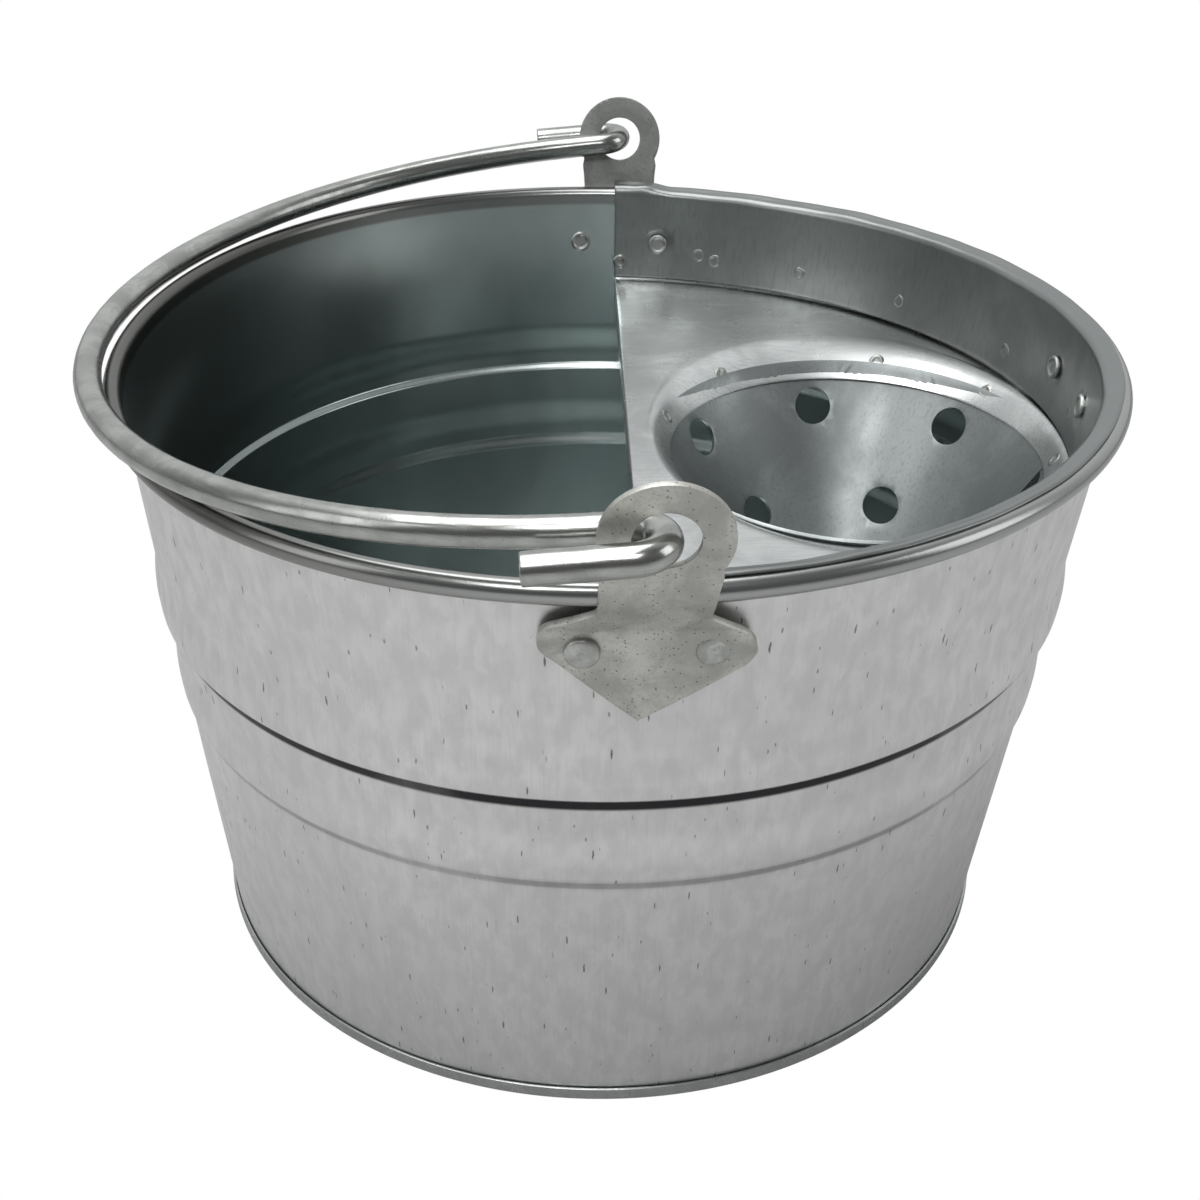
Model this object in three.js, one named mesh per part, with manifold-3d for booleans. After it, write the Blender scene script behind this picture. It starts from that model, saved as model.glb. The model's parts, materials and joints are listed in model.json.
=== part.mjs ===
// Galvanised steel mop bucket with a riveted-in wringer and a wire bail handle.
// Millimetres, +Z up. The origin is the centre of the foot, on the floor.
// The wringer is on the +X side, the lugs that carry the bail are at -Y (front) and +Y (back).

import * as THREE from 'three';
import { mergeVertices } from 'three/addons/utils/BufferGeometryUtils.js';
import Module from 'manifold-3d';

const wasm = await Module();
wasm.setup();

// ---- Driving dimensions ----

const sheet = 0.8;             // bucket wall and base
const wringerSheet = 1.0;      // collar, plate and cone
const lugPlate = 2.0;          // lug thickness
const gap = 0.3;               // clearance between touching pieces
const mouthTurns = 40;         // facets round the mouth and the cone
const turns = 60;              // facets round the bucket's axis

const rimHeight = 180;         // floor to the top of the rolled rim
const rimRadius = 150;         // outside of the rolled rim
const beadRadius = 2.9;        // outside of the rolled rim's round section
const beadSheet = 0.7;         // sheet thickness where it is rolled
const rimWireRadius = 1.8;     // wire inside the rolled rim
const beadOpening = 55;        // degrees of the curl left open beside the wall

const wallFootRadius = 124;    // outside of the wall at its lower edge
const wallBottom = 1.1;        // lower edge of the wall, held in the foot hem
const hemHeight = 4.2;         // top of the hem that is folded up outside the wall
const baseHeight = 2.0;        // underside of the base above the floor
const swageHeights = [87.5, 115];
const swageProud = 1.7;        // how far each swage stands out of the wall
const swageRise = 15;          // long upper slope of a swage
const swageDrop = 2.6;         // short lower slope of a swage
const squeezeStart = 25;       // the open side is a little flattened from this far towards -X
const squeezeFoot = 3;         // how far the outermost point is pressed in at the floor
const squeezeGrowth = 1 / 30;  // more of it for each millimetre of height

const hingeX = 9.5;            // the bail's axis is set towards the wringer
const hingeHeight = 195.5;
const lugMidRadius = 156;      // middle of the lug's thickness at the eye
const eyeOuterRadius = 14.7;
const eyeHoleRadius = 7.5;
const lugRivetHeight = 161;
const lugRivetSpread = 14.3;   // each rivet from the lug's middle
const lugLean = 12;            // outward lean of the eye, degrees
const frontLugTilt = 4.5;      // the front lug stands this many degrees off upright

const wireRadius = 3.75;       // bail wire
const bailReach = 155;         // hinge axis to the middle of the bail's wire
const innerLegOffset = 6.2;    // main leg inside the lug's middle plane
const outerLegOffset = 8.3;    // free end outside the lug's middle plane
const freeEnd = 30;            // free end's length past the hinge axis
const bailRestAngle = 5.2;     // drop below level where the bail rests on the rim

const shankRadius = 2.4;
const rivetHeadRadius = 4.2;
const rivetHeadHeight = 1.6;
const rivetTailRadius = 3.4;
const rivetTailHeight = 1.2;

const wringerEdge = 7.6;       // X of the wringer's straight edge
const plateTop = 148;
const plateFlangeTop = 157.5;  // turned-up flange between the wall and the collar
const edgeFold = 7;            // depth of the turned-down straight edge
const collarStandOff = 1.6;    // collar to wall, leaving room for the plate's flange
const collarBottom = 149.2;
const collarLipRadius = 147.2; // outer edge of the lip that lies on the rim
const collarRivetAngles = { front: -6, back: 6 };
const collarRivetHeight = 163;

const mouthCentreX = 77;       // oval mouth pressed into the plate
const mouthHalfX = 61;
const mouthHalfY = 76;
const throatRadius = 56;       // lower edge of the mouth's flange
const throatStretch = 1.06;    // the throat and the cone are a little longer in Y
const throatHeight = 141;
const coneTop = 145.6;
const coneBottom = 84;
const coneBottomRadius = 22;
const holeRadius = 6.2;
const holeRows = [
  { height: 133, count: 7, first: 44 },
  { height: 106.5, count: 5, first: 62 },
];
const drainRadius = 5;

// ---- Shared helpers ----

const rad = THREE.MathUtils.degToRad;
const beadCentre = new THREE.Vector2(rimRadius - beadRadius, rimHeight - beadRadius);
const wallTopRadius = beadCentre.x - beadRadius + beadSheet;

function wallOuter(z) {
  const share = (z - wallBottom) / (beadCentre.y - wallBottom);
  return wallFootRadius + (wallTopRadius - wallFootRadius) * share;
}

const wallInner = (z) => wallOuter(z) - sheet;
const wallSlope = Math.atan((wallTopRadius - wallFootRadius) / (beadCentre.y - wallBottom));

const point = (r, z) => new THREE.Vector2(r, z);

function arc(centre, radius, from, to, steps) {
  const points = [];
  for (let i = 0; i <= steps; i++) {
    const angle = rad(from + (to - from) * i / steps);
    points.push(point(centre.x + radius * Math.cos(angle), centre.y + radius * Math.sin(angle)));
  }
  return points;
}

// A ring or cup turned about Z from a closed profile, listed anticlockwise in (radius, height).
function turned(profile, segments = turns) {
  const closed = [...profile, profile[0].clone()];
  const geometry = new THREE.LatheGeometry(closed, segments);
  geometry.rotateX(Math.PI / 2);
  return geometry;
}

function solid(geometry) {
  const bare = geometry.clone();
  bare.deleteAttribute('normal');
  bare.deleteAttribute('uv');
  const merged = mergeVertices(bare, 1e-4);
  const vertProperties = new Float32Array(merged.attributes.position.array);
  const triVerts = new Uint32Array(merged.index.array);
  return new wasm.Manifold(new wasm.Mesh({ numProp: 3, vertProperties, triVerts }));
}

function geometryOf(manifold) {
  const mesh = manifold.getMesh();
  const geometry = new THREE.BufferGeometry();
  geometry.setAttribute('position', new THREE.BufferAttribute(new Float32Array(mesh.vertProperties), 3));
  geometry.setIndex(new THREE.BufferAttribute(new Uint32Array(mesh.triVerts), 1));
  geometry.computeVertexNormals();
  return geometry;
}

function box(minimum, maximum) {
  const size = maximum.map((value, i) => value - minimum[i]);
  const geometry = new THREE.BoxGeometry(...size);
  geometry.translate(...maximum.map((value, i) => (value + minimum[i]) / 2));
  return solid(geometry);
}

const wringerSide = box([wringerEdge, -200, 0], [200, 200, 200]);

function extruded(shape, depth) {
  return new THREE.ExtrudeGeometry(shape, { depth, bevelEnabled: false, curveSegments: 7 });
}

const steel = (color, roughness) => new THREE.MeshStandardMaterial({ color, roughness, metalness: 1 });

// ---- Rivets: their places, the holes they need and the fasteners themselves ----

// Each rivet points along the wall's outward normal. Its grip runs from the inner to the outer offset,
// both measured from the wall's outer surface.
const collarInside = -sheet - collarStandOff - wringerSheet;
const lugOutside = gap + lugPlate;
const lugAngle = (side, offset) => {
  const x = hingeX - (side < 0 ? eyeTiltShift() : 0) + offset;
  return THREE.MathUtils.radToDeg(Math.atan2(side * Math.sqrt(wallOuter(lugRivetHeight) ** 2 - x * x), x));
};

function eyeTiltShift() {
  return (hingeHeight - lugRivetHeight) * Math.tan(rad(frontLugTilt));
}

const rivets = {};
for (const [end, side] of [['front', -1], ['back', 1]]) {
  rivets[`rivet_lug_${end}_open_side`] = {
    angle: lugAngle(side, -lugRivetSpread), height: lugRivetHeight, inner: -sheet, outer: lugOutside,
  };
  rivets[`rivet_lug_${end}_wringer_side`] = {
    angle: lugAngle(side, lugRivetSpread), height: lugRivetHeight, inner: collarInside, outer: lugOutside,
  };
  rivets[`rivet_collar_${end}`] = {
    angle: collarRivetAngles[end], height: collarRivetHeight, inner: collarInside, outer: 0,
  };
}

function placeOnWall(geometry, rivet) {
  geometry.rotateY(wallSlope);
  geometry.translate(wallOuter(rivet.height), 0, rivet.height);
  geometry.rotateZ(rad(rivet.angle));
  return geometry;
}

function rivetHole(rivet) {
  const reach = 8;
  const drill = new THREE.CylinderGeometry(shankRadius + gap, shankRadius + gap, 2 * reach, 16);
  drill.rotateZ(Math.PI / 2);
  return solid(placeOnWall(drill, rivet));
}

function drilled(body, test = () => true) {
  for (const [name, rivet] of Object.entries(rivets)) {
    if (test(name)) body = body.subtract(rivetHole(rivet));
  }
  return body;
}

// Low domed head outside, a flatter upset end inside, turned about X.
function rivetGeometry(rivet) {
  const head = rivet.outer + gap;
  const tail = rivet.inner - gap;
  const dome = 0.45 * rivetHeadHeight;
  const profile = [
    point(0, tail - rivetTailHeight),
    point(rivetTailRadius * 0.7, tail - rivetTailHeight),
    point(rivetTailRadius, tail - 0.5 * rivetTailHeight),
    point(rivetTailRadius, tail),
    point(shankRadius, tail),
    point(shankRadius, head),
    point(rivetHeadRadius, head),
    point(rivetHeadRadius, head + dome),
    point(rivetHeadRadius * 0.75, head + 0.9 * rivetHeadHeight),
    point(0, head + rivetHeadHeight),
  ];
  const geometry = new THREE.LatheGeometry(profile, 16);
  geometry.rotateZ(-Math.PI / 2);
  return placeOnWall(geometry, rivet);
}

// ---- Bucket shell ----

// Wall outline from the hem to the curl: each swage swells slowly and ends in a short step below.
function wallLine(offset) {
  const points = [point(wallOuter(wallBottom) + offset, wallBottom)];
  for (const z of swageHeights) {
    points.push(point(wallOuter(z - swageDrop) + offset, z - swageDrop));
    points.push(point(wallOuter(z) + offset + swageProud, z));
    points.push(point(wallOuter(z + swageRise / 3) + offset + swageProud, z + swageRise / 3));
    points.push(point(wallOuter(z + swageRise) + offset, z + swageRise));
  }
  return points;
}

// The open half is pressed slightly flat, as a bucket with no stiffener on that side is.
function squeezed(geometry) {
  const position = geometry.attributes.position;
  for (let i = 0; i < position.count; i++) {
    const share = Math.max(0, (-position.getX(i) - squeezeStart) / (rimRadius - squeezeStart));
    const depth = squeezeFoot + squeezeGrowth * position.getZ(i);
    position.setX(i, position.getX(i) + depth * share ** 2);
  }
  geometry.computeVertexNormals();
  return geometry;
}

function bucketWall() {
  const curlEnd = 180 + beadOpening;
  const outerCurl = arc(beadCentre, beadRadius, 180, curlEnd - 360, 11);
  const innerCurl = arc(beadCentre, beadRadius - beadSheet, curlEnd - 360, 180, 8);
  const inner = [...wallLine(-sheet), ...outerCurl];
  const outer = [...innerCurl, ...wallLine(0).reverse()];
  return squeezed(geometryOf(drilled(solid(turned([...inner, ...outer].reverse())))));
}

function rimWire() {
  return squeezed(turned(arc(beadCentre, rimWireRadius, 0, 315, 7)));
}

// The base's edge is folded down to the floor, out under the wall's edge and up outside it.
function bucketBase() {
  const foldInside = wallInner(wallBottom) - gap;
  const hemInside = wallOuter(hemHeight) + gap;
  const floorOfHem = wallBottom - gap;
  const profile = [
    point(0, baseHeight),
    point(foldInside - sheet, baseHeight),
    point(foldInside - sheet, 0),
    point(hemInside + sheet, 0),
    point(hemInside + sheet, hemHeight),
    point(hemInside, hemHeight),
    point(hemInside, floorOfHem),
    point(foldInside, floorOfHem),
    point(foldInside, baseHeight + sheet),
    point(0, baseHeight + sheet),
  ];
  const geometry = new THREE.LatheGeometry(profile, turns);
  geometry.rotateX(Math.PI / 2);
  return squeezed(geometry);
}

// ---- Lugs ----

// Outline in the plate's own plane: v = 0 is the rivet line, the tip is below and the eye above.
const bendV = 4.8;
const bendHeight = lugRivetHeight + bendV;
const stepHeight = 178;
const bendRadius = wallOuter(bendHeight) + gap;
const stepRadius = lugMidRadius - lugPlate / 2 - (hingeHeight - stepHeight) * Math.tan(rad(lugLean));
const stepV = bendV + Math.hypot(stepRadius - bendRadius, stepHeight - bendHeight);
const eyeV = stepV + (hingeHeight - stepHeight) / Math.cos(rad(lugLean));

function lugOutline() {
  const lobe = { x: 17.8, y: 1.6, r: 7 };
  const neck = 13;
  const join = eyeV - Math.sqrt(eyeOuterRadius ** 2 - neck ** 2);
  const joinAngle = Math.asin((join - eyeV) / eyeOuterRadius);
  const shape = new THREE.Shape();
  shape.moveTo(0, -20);
  shape.lineTo(lobe.x + lobe.r * Math.sin(rad(35)), lobe.y - lobe.r * Math.cos(rad(35)));
  shape.absarc(lobe.x, lobe.y, lobe.r, rad(-55), rad(60), false);
  shape.lineTo(neck, 12);
  shape.lineTo(neck, join);
  shape.absarc(0, eyeV, eyeOuterRadius, joinAngle, Math.PI - joinAngle, false);
  shape.lineTo(-neck, 12);
  shape.lineTo(-lobe.x - lobe.r * Math.cos(rad(60)), lobe.y + lobe.r * Math.sin(rad(60)));
  shape.absarc(-lobe.x, lobe.y, lobe.r, rad(120), rad(235), false);
  shape.closePath();
  const eye = new THREE.Path();
  eye.absarc(0, eyeV, eyeHoleRadius, 0, 2 * Math.PI, true);
  shape.holes.push(eye);
  return shape;
}

// One flat stretch of the plate from vLow to vHigh, leaning outward from a line at (radius, height).
function lugStretch(tilt, vLow, vHigh, radius, height, lean) {
  const plate = extruded(lugOutline(), lugPlate);
  plate.rotateZ(-rad(tilt));
  const cut = solid(plate).intersect(box([-60, vLow, -1], [60, vHigh, lugPlate + 1]));
  const geometry = geometryOf(cut);
  geometry.translate(0, -vLow, 0);
  geometry.rotateX(Math.PI / 2 + rad(lean));
  geometry.translate(0, -radius, height);
  return solid(geometry);
}

function lug(side) {
  const tilt = side < 0 ? frontLugTilt : 0;
  const baseX = hingeX - (side < 0 ? eyeTiltShift() : 0);
  const slant = THREE.MathUtils.radToDeg(Math.atan2(stepRadius - bendRadius, stepHeight - bendHeight));
  const overlap = 0.6;
  const bandTop = bendHeight + overlap;
  const bandBottom = lugRivetHeight - 30;
  const prism = extruded(lugOutline(), 60);
  prism.rotateZ(-rad(tilt));
  prism.rotateX(Math.PI / 2);
  prism.translate(0, -100, lugRivetHeight);
  const band = turned([
    point(wallOuter(bandBottom) + gap, bandBottom),
    point(wallOuter(bandBottom) + gap + lugPlate, bandBottom),
    point(wallOuter(bandTop) + gap + lugPlate, bandTop),
    point(wallOuter(bandTop) + gap, bandTop),
  ]);
  band.translate(side * baseX, 0, 0);
  let body = solid(prism).intersect(solid(band));
  body = body.add(lugStretch(tilt, bendV, stepV + overlap, bendRadius, bendHeight, slant));
  body = body.add(lugStretch(tilt, stepV, eyeV + 20, stepRadius, stepHeight, lugLean));
  const geometry = geometryOf(body);
  if (side > 0) geometry.rotateZ(Math.PI);
  geometry.translate(baseX, 0, 0);
  const end = side < 0 ? 'lug_front' : 'lug_back';
  return geometryOf(drilled(solid(geometry), (name) => name.includes(end)));
}

// ---- Bail ----

// A path through listed points, one step of t to each, so tight bends keep their own spacing.
class WirePath extends THREE.Curve {
  constructor(points) {
    super();
    this.points = points;
  }

  getPoint(t) {
    const place = Math.min(Math.max(t, 0), 1) * (this.points.length - 1);
    const i = Math.min(Math.floor(place), this.points.length - 2);
    return this.points[i].clone().lerp(this.points[i + 1], place - i);
  }

  getUtoTmapping(u) {
    return u;
  }
}

// Level outline of the bail: x is the distance back from the hinge axis, y runs along it.
function bailOutline() {
  const innerLeg = lugMidRadius - innerLegOffset;
  const hook = (innerLegOffset + outerLegOffset) / 2;
  const hookY = innerLeg + hook;
  const bendSteps = 8;
  const bowSteps = 40;
  const half = [[freeEnd, hookY + hook], [freeEnd / 2 + hook / 2, hookY + hook]];
  for (let i = 0; i <= bendSteps; i++) {
    const angle = Math.PI * i / bendSteps;
    half.push([hook * (1 - Math.sin(angle)), hookY + hook * Math.cos(angle)]);
  }
  const points = half.map(([x, y]) => [x, -y]);
  for (let i = 1; i < bowSteps; i++) {
    const angle = Math.PI * i / bowSteps;
    points.push([hook + (bailReach - hook) * Math.sin(angle), -innerLeg * Math.cos(angle)]);
  }
  return [...points, ...half.reverse()];
}

function bailHandle() {
  const drop = rad(bailRestAngle);
  const points = bailOutline().map(([x, y]) => new THREE.Vector3(
    hingeX - x * Math.cos(drop), y, hingeHeight - x * Math.sin(drop),
  ));
  const section = new THREE.Shape();
  section.absarc(0, 0, wireRadius, 0, 2 * Math.PI, false);
  return new THREE.ExtrudeGeometry(section, {
    steps: points.length - 1, extrudePath: new WirePath(points), curveSegments: 5,
  });
}

// ---- Wringer ----

// Strip inside the wall with a lip turned out over the rim, on the wringer's half only.
function wringerCollar() {
  const inner = (z) => wallInner(z) - collarStandOff - wringerSheet;
  const shoulder = rimHeight - 2.5;
  const lipBottom = rimHeight + gap;
  const lipTop = lipBottom + wringerSheet;
  const profile = [
    point(inner(collarBottom), collarBottom),
    point(inner(collarBottom) + wringerSheet, collarBottom),
    point(inner(shoulder) + wringerSheet, shoulder),
    point(inner(shoulder) + wringerSheet + 0.7, lipBottom - 0.6),
    point(inner(shoulder) + wringerSheet + 2.2, lipBottom),
    point(collarLipRadius, lipBottom),
    point(collarLipRadius, lipTop),
    point(inner(shoulder) + 2.0, lipTop),
    point(inner(shoulder) + 0.6, lipTop - 0.9),
    point(inner(shoulder), shoulder),
  ];
  const strip = solid(turned(profile)).intersect(wringerSide);
  return geometryOf(drilled(strip, (name) => name.includes('wringer_side') || name.includes('collar')));
}

// Stretches a turned surface about the mouth into the oval that it has at that radius.
function mouthStretch(radius) {
  const share = Math.max(0, (radius - throatRadius) / (mouthHalfX - throatRadius));
  return throatStretch + (mouthHalfY / mouthHalfX - throatStretch) * share;
}

function ovalAboutMouth(geometry) {
  const position = geometry.attributes.position;
  for (let i = 0; i < position.count; i++) {
    const radius = Math.hypot(position.getX(i), position.getY(i));
    position.setY(i, position.getY(i) * mouthStretch(radius));
  }
  geometry.translate(mouthCentreX, 0, 0);
  return geometry;
}

// Half disc with a pressed oval mouth, a flange turned up against the wall and a fold at its edge.
function wringerPlate() {
  const under = plateTop - wringerSheet;
  const flangeOuter = (z) => wallInner(z) - gap;
  const flange = turned([
    point(flangeOuter(under) - wringerSheet, under),
    point(flangeOuter(under), under),
    point(flangeOuter(plateFlangeTop), plateFlangeTop),
    point(flangeOuter(plateFlangeTop) - wringerSheet, plateFlangeTop),
  ]);
  const disc = turned([
    point(0, under),
    point(flangeOuter(under) - wringerSheet / 2, under),
    point(flangeOuter(under) - wringerSheet / 2, plateTop),
    point(0, plateTop),
  ]);
  const mouthCut = ovalAboutMouth(turned([
    point(0, under - 2),
    point(mouthHalfX, under - 2),
    point(mouthHalfX, plateTop + 2),
    point(0, plateTop + 2),
  ], mouthTurns));
  const mouth = ovalAboutMouth(turned([
    point(throatRadius, throatHeight),
    point(throatRadius + wringerSheet, throatHeight),
    point(mouthHalfX + 0.4, under),
    point(mouthHalfX + 0.4, plateTop),
    point(mouthHalfX - 1.2, plateTop - 0.4),
  ], mouthTurns));
  const halfWidth = Math.sqrt((wallInner(under) - 2) ** 2 - wringerEdge ** 2);
  const fold = box([wringerEdge, -halfWidth + 4, plateTop - edgeFold],
    [wringerEdge + wringerSheet, halfWidth - 4, plateTop - 0.2]);
  const plate = solid(disc).subtract(solid(mouthCut)).add(solid(flange)).intersect(wringerSide);
  return geometryOf(plate.add(solid(mouth)).add(fold));
}

// Rolled cone under the throat, with two rows of round drain holes.
function coneRadius(z) {
  const top = throatRadius + wringerSheet + gap;
  return coneBottomRadius + (top - coneBottomRadius) * (z - coneBottom) / (throatHeight - coneBottom);
}

function wringerCone() {
  const flare = coneRadius(throatHeight) + 3.4;
  const shell = ovalAboutMouth(turned([
    point(coneRadius(coneBottom), coneBottom),
    point(coneRadius(coneBottom) + wringerSheet, coneBottom),
    point(coneRadius(throatHeight) + wringerSheet, throatHeight),
    point(flare + wringerSheet, coneTop),
    point(flare, coneTop),
    point(coneRadius(throatHeight), throatHeight),
  ], mouthTurns));
  let cone = solid(shell);
  const tip = Math.atan2(coneRadius(throatHeight) - coneBottomRadius, throatHeight - coneBottom);
  for (const row of holeRows) {
    for (let i = 0; i < row.count; i++) {
      const drill = new THREE.CylinderGeometry(holeRadius, holeRadius, 10, 14);
      drill.rotateZ(Math.PI / 2);
      drill.rotateY(tip);
      drill.translate(coneRadius(row.height), 0, row.height);
      drill.rotateZ(rad(row.first + i * 360 / row.count));
      drill.scale(1, throatStretch, 1);
      drill.translate(mouthCentreX, 0, 0);
      cone = cone.subtract(solid(drill));
    }
  }
  return geometryOf(cone);
}

// Shallow cup closing the cone's lower end, with one drain hole.
function coneCup() {
  const inside = coneRadius(coneBottom);
  const rimTop = coneBottom + 5;
  const cup = turned([
    point(drainRadius, coneBottom - gap - wringerSheet),
    point(inside - 2, coneBottom - gap - wringerSheet),
    point(inside - gap - wringerSheet, coneBottom + 0.8),
    point(coneRadius(rimTop) - gap - wringerSheet, rimTop),
    point(coneRadius(rimTop) - gap - 2 * wringerSheet, rimTop),
    point(inside - gap - 2 * wringerSheet - 0.8, coneBottom + 0.8),
    point(inside - 3.2, coneBottom - gap),
    point(drainRadius, coneBottom - gap),
  ], mouthTurns);
  cup.scale(1, throatStretch, 1);
  cup.translate(mouthCentreX, 0, 0);
  return cup;
}

// ---- Assembly ----

const galvanised = steel(0xb9bcbb, 0.42);
const rolled = steel(0xa9adac, 0.3);
const lugSteel = steel(0x8f918e, 0.6);
const wringerSteel = steel(0xa2a6a6, 0.38);
const coneSteel = steel(0xb2b6b5, 0.28);
const zincWire = steel(0xc2c3bd, 0.22);

const bucket = new THREE.Group();

function piece(name, geometry, material) {
  const mesh = new THREE.Mesh(geometry, material.clone());
  mesh.name = name;
  bucket.add(mesh);
}

piece('bucket_wall', bucketWall(), galvanised);
piece('bucket_base', bucketBase(), galvanised);
piece('rim_wire', rimWire(), rolled);
piece('lug_front', lug(-1), lugSteel);
piece('lug_back', lug(1), lugSteel);
piece('wringer_collar', wringerCollar(), wringerSteel);
piece('wringer_plate', wringerPlate(), wringerSteel);
piece('wringer_cone', wringerCone(), coneSteel);
piece('wringer_cone_cup', coneCup(), coneSteel);
piece('bail_handle', bailHandle(), zincWire);
for (const [name, rivet] of Object.entries(rivets)) {
  piece(name, rivetGeometry(rivet), lugSteel);
}

export default bucket;
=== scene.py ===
import json
import math

import bmesh
import bpy
from mathutils import Matrix, Vector, noise

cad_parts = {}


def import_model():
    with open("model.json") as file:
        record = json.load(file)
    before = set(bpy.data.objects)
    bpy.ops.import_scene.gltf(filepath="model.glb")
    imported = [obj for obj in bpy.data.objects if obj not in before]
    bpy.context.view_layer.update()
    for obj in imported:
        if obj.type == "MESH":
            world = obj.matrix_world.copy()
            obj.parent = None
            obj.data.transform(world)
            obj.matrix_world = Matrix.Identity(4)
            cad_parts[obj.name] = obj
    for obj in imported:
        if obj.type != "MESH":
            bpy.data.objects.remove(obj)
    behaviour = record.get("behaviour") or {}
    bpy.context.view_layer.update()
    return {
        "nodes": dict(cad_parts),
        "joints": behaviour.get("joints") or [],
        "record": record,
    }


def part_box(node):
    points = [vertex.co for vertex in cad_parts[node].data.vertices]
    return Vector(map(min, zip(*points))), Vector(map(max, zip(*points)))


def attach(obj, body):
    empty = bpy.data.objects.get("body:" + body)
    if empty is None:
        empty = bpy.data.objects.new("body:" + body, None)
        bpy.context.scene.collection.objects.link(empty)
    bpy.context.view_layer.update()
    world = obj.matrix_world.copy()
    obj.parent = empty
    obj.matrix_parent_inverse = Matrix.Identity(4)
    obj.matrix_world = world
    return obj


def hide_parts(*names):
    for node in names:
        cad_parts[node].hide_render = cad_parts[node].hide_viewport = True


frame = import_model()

MM = 0.001


# ---------------------------------------------------------------- sizes, in millimetres

def corners(node):
    low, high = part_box(node)
    return low / MM, high / MM


wall_low, wall_high = corners("bucket_wall")
_, base_high = corners("bucket_base")
collar_low, _ = corners("wringer_collar")
plate_low, plate_high = corners("wringer_plate")
cone_low, cone_high = corners("wringer_cone")
cup_low, cup_high = corners("wringer_cone_cup")
hinge = Vector(frame["joints"][0]["pos_m"]) / MM
mounts = {m["name"]: Vector(m["pos_m"]) / MM for m in frame["record"]["mounts"]}

SHEET = 0.8                     # wall and base
WRINGER_SHEET = 1.0             # collar, plate and cone
BEAD = 2.9                      # outer radius of the rolled rim's round section
BEAD_SHEET = 0.7                # sheet where it is rolled
GAP = 0.3                       # between pieces that touch on the real bucket
RIM_RADIUS = wall_high.x
RIM_TOP = wall_high.z
BEAD_CENTRE = (RIM_RADIUS - BEAD, RIM_TOP - BEAD)
WALL_FOOT = 124.0
WALL_BOTTOM = wall_low.z
WALL_TOP = BEAD_CENTRE[0] - BEAD + BEAD_SHEET

PLATE_TOP = 148.0               # the plate's flat upper face
EDGE_X = plate_low.x            # the wringer's straight edge
COLLAR_BOTTOM = collar_low.z
COLLAR_STAND_OFF = 1.6          # collar to wall
MOUTH_X = 77.0                  # middle of the oval mouth and of the cone
THROAT = 56.0                   # the mouth's lower edge, where the cone starts
THROAT_HEIGHT = plate_low.z
MOUTH_HALF = (61.0, 76.0)       # the mouth's upper edge, half its size along X and Y
THROAT_STRETCH = 1.06           # the throat and the cone are this much longer in Y
CONE_BOTTOM = cone_low.z
CONE_BOTTOM_RADIUS = 22.0

LUG_PLATE = 2.0                 # thickness of the frame's lugs
LUG_THINNER = 0.4               # how much thinner the drawn lugs are
LUG_MID = 156.0                 # middle of the lug's thickness at the eye, from the bucket's axis
LUG_RIVET_HEIGHT = 161.0
EYE_OUTER = 14.7
EYE_HOLE = 7.5
LUG_LEAN = math.radians(12)
FRONT_TILT = math.radians(4.5)

WIRE = 3.75                     # radius of the bail's wire
INNER_OFFSET, OUTER_OFFSET = 6.2, 8.3   # the hook's two legs, from the lug's middle
INNER_LEG = LUG_MID - INNER_OFFSET
HOOK = (INNER_OFFSET + OUTER_OFFSET) / 2
FREE_END = 30.0                 # length of the free end past the hinge axis
BAIL_REACH = 155.0              # hinge axis to the middle of the wire
BAIL_DROP = math.radians(5.2)   # below level, where the bail rests

SQUEEZE_START = 25.0            # the open half is pressed in from this far towards -X
SQUEEZE_FOOT = 3.0              # how far, at the floor
SQUEEZE_GROWTH = 1 / 30         # and how much more for each millimetre of height

SWAGES = [(115.0, 1.9, 2.2, 16.0), (87.5, 1.2, 5.0, 15.0)]   # height, proud, drop below, rise above
SEAM_ANGLE = math.radians(80)   # the wall's lock seam, beside the back lug
SEAM_RADIUS = 138.0             # turns the seam's widths into angles
GIRTH_RADIUS = 140.0            # the same for waves and for the wall's marks


def clamp01(value):
    return min(1.0, max(0.0, value))


def smooth(value):
    value = clamp01(value)
    return value * value * (3 - 2 * value)


def mix(a, b, t):
    return a + (b - a) * t


def wall_line(z):
    """Radius of the wall's straight outer line at a height, before the swages."""
    return mix(WALL_FOOT, WALL_TOP, (z - WALL_BOTTOM) / (BEAD_CENTRE[1] - WALL_BOTTOM))


def swage(z):
    """How far the swages push the wall out at a height."""
    total = 0.0
    for height, proud, drop, rise in SWAGES:
        if z < height:
            total += proud * smooth((z - height + drop) / drop)
        else:
            total += proud * (1 - smooth((z - height - 0.2 * rise) / (0.8 * rise)))
    return total


def squeezed(bm):
    """Presses the open half slightly flat, as the frame's solids are."""
    for vert in bm.verts:
        share = max(0.0, (-vert.co.x - SQUEEZE_START) / (RIM_RADIUS - SQUEEZE_START))
        vert.co.x += (SQUEEZE_FOOT + SQUEEZE_GROWTH * vert.co.z) * share ** 2
    return bm


def wander(seed, x, y, z, size):
    """Smooth unevenness between about -1 and 1, with waves of the given size."""
    return noise.noise(Vector((x / size + seed, y / size - seed, z / size + 0.5 * seed)))


# ---------------------------------------------------------------- mesh helpers

def make_object(name, bm, material, sharp=35):
    bmesh.ops.recalc_face_normals(bm, faces=bm.faces)
    for face in bm.faces:
        face.smooth = True
    mesh = bpy.data.meshes.new(name)
    bmesh.ops.scale(bm, vec=(MM, MM, MM), verts=bm.verts)
    bm.to_mesh(mesh)
    bm.free()
    mesh.set_sharp_from_angle(angle=math.radians(sharp))
    piece = bpy.data.objects.new(name, mesh)
    bpy.context.scene.collection.objects.link(piece)
    piece.data.materials.append(material)
    return piece


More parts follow.
